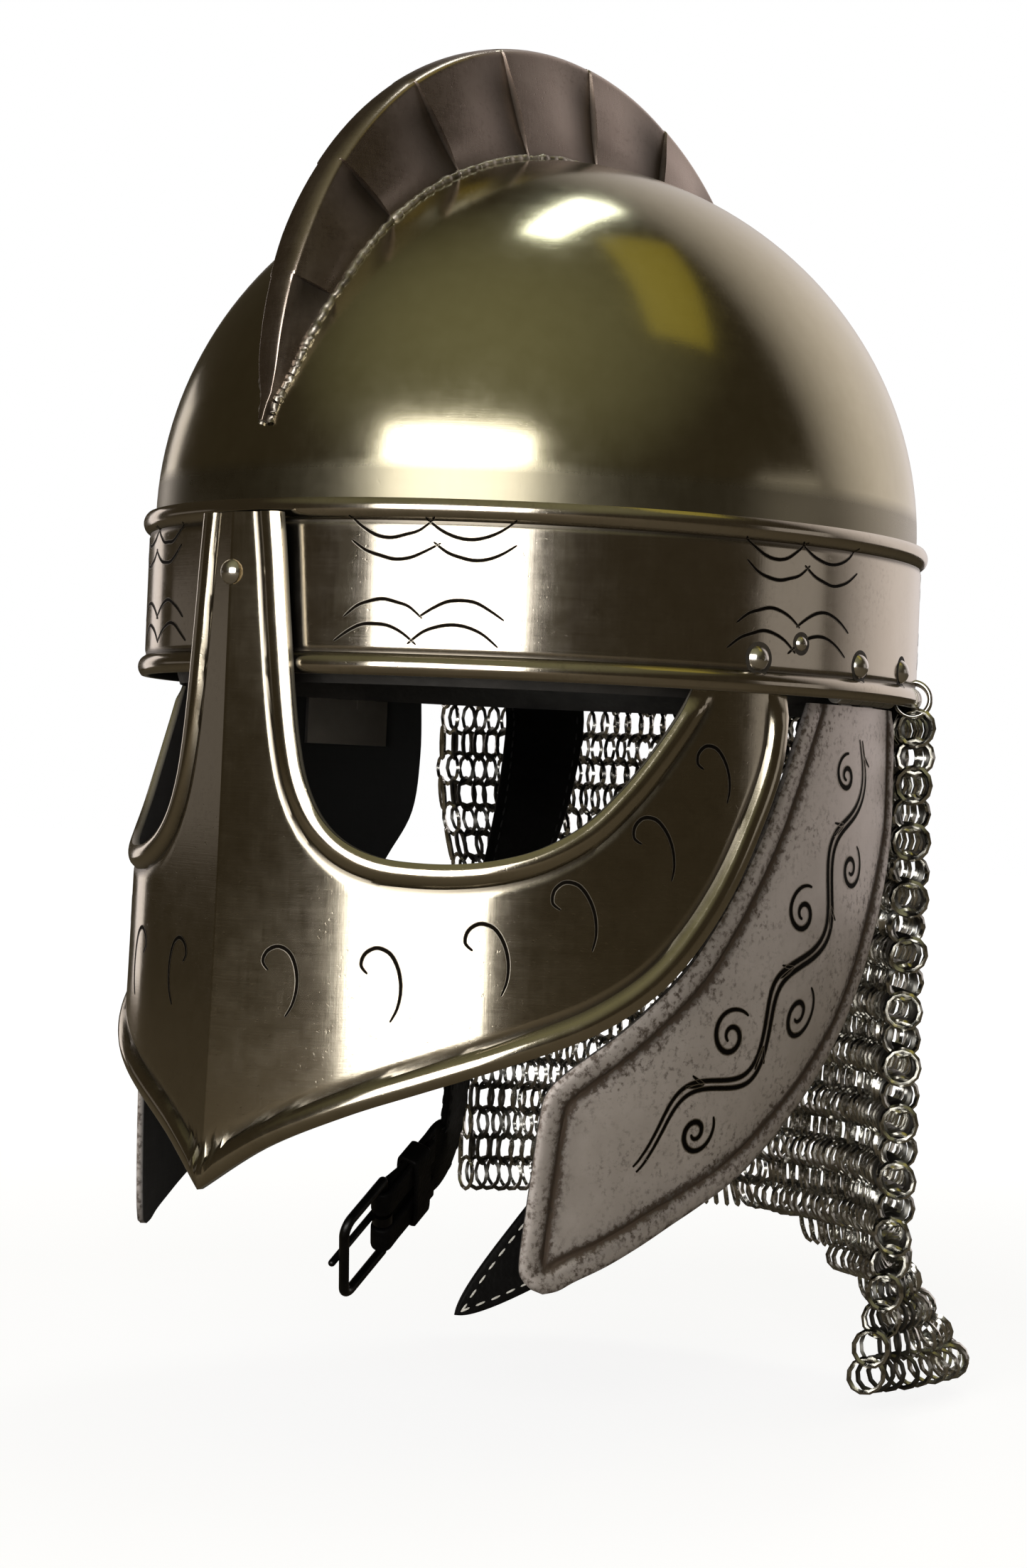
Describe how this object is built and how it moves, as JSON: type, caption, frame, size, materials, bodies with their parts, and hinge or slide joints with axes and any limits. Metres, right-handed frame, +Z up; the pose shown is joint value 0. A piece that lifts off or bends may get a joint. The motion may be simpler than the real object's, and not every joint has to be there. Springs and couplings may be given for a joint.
{
  "type": "crested helmet with face mask and mail curtain",
  "caption": "Steel crested helmet with a pointed face mask, hinged cheek plates, a leather liner, buckled chin straps and a ring-mail neck curtain.",
  "frame": {"origin": "middle of the brow band's lower edge, where the head goes in", "axes": "+Z up through the crown, -Y towards the front of the face mask, +X towards the wearer's left"},
  "size_m": [0.2156, 0.2552, 0.3817],
  "materials": {
    "satin_steel": "satin polished steel with a warm tint",
    "dark_steel": "dark satin steel",
    "grey_steel": "dull grey steel",
    "hinge_steel": "plain worked steel",
    "bright_rivets": "polished rivet heads",
    "buckle_steel": "dull rod steel",
    "ring_mail": "round wire rings, lightly oxidised",
    "black_leather": "black, lightly waxed"
  },
  "bodies": {
    "helmet": {"skull_bowl": "satin_steel", "brow_band": "satin_steel", "crest_comb": "dark_steel", "face_mask": "satin_steel", "nasal_rivet": "bright_rivets", "mask_end_rivets": "bright_rivets", "left_hinge_leaf": "hinge_steel", "right_hinge_leaf": "hinge_steel", "left_hinge_pin": "hinge_steel", "right_hinge_pin": "hinge_steel", "hinge_rivets": "bright_rivets", "liner_headband": "black_leather", "liner_crown": "black_leather", "liner_lace": "black_leather", "liner_rivets": "bright_rivets", "liner_spacers": "hinge_steel", "strap_rivets": "bright_rivets", "strap_washers": "hinge_steel", "aventail_hangers": "ring_mail"},
    "left_cheek": {"left_cheek_plate": "grey_steel", "left_cheek_leaf": "hinge_steel"},
    "right_cheek": {"right_cheek_plate": "grey_steel", "right_cheek_leaf": "hinge_steel"},
    "aventail": {"mail_aventail": "ring_mail"},
    "left_strap": {"left_chin_strap": "black_leather"},
    "right_strap": {"right_chin_strap": "black_leather", "strap_keeper": "black_leather"},
    "buckle": {"buckle_frame": "buckle_steel"},
    "prong": {"buckle_prong": "buckle_steel"}
  },
  "joints": [
    {"name": "left_cheek_hinge", "type": "hinge", "parent": "helmet", "child": "left_cheek", "pos_m": [0.09768, 0.02332, 0.0012], "axis": [0.197, -0.9804, 0], "range_deg": [-5, 60]},
    {"name": "right_cheek_hinge", "type": "hinge", "parent": "helmet", "child": "right_cheek", "pos_m": [-0.09768, 0.02332, 0.0012], "axis": [0.197, 0.9804, 0], "range_deg": [-5, 60]},
    {"name": "aventail_swing", "type": "hinge", "parent": "helmet", "child": "aventail", "pos_m": [0, 0.099, -0.008], "axis": [1, 0, 0], "range_deg": [-4, 7]},
    {"name": "left_strap_pivot", "type": "hinge", "parent": "helmet", "child": "left_strap", "pos_m": [0.06632, 0.08337, 0.01], "axis": [0.6861, 0.7275, 0], "range_deg": [-4, 4]},
    {"name": "right_strap_pivot", "type": "hinge", "parent": "helmet", "child": "right_strap", "pos_m": [-0.06632, 0.08337, 0.01], "axis": [-0.6861, 0.7275, 0], "range_deg": [-4, 4]},
    {"name": "buckle_swing", "type": "hinge", "parent": "right_strap", "child": "buckle", "pos_m": [-0.045, -0.006, -0.155], "axis": [0.4253, -0.4817, 0.7662], "range_deg": [-50, 50]},
    {"name": "prong_lift", "type": "hinge", "parent": "buckle", "child": "prong", "pos_m": [-0.045, -0.006, -0.155], "axis": [-0.4253, 0.4817, -0.7662], "range_deg": [0, 60]}
  ]
}
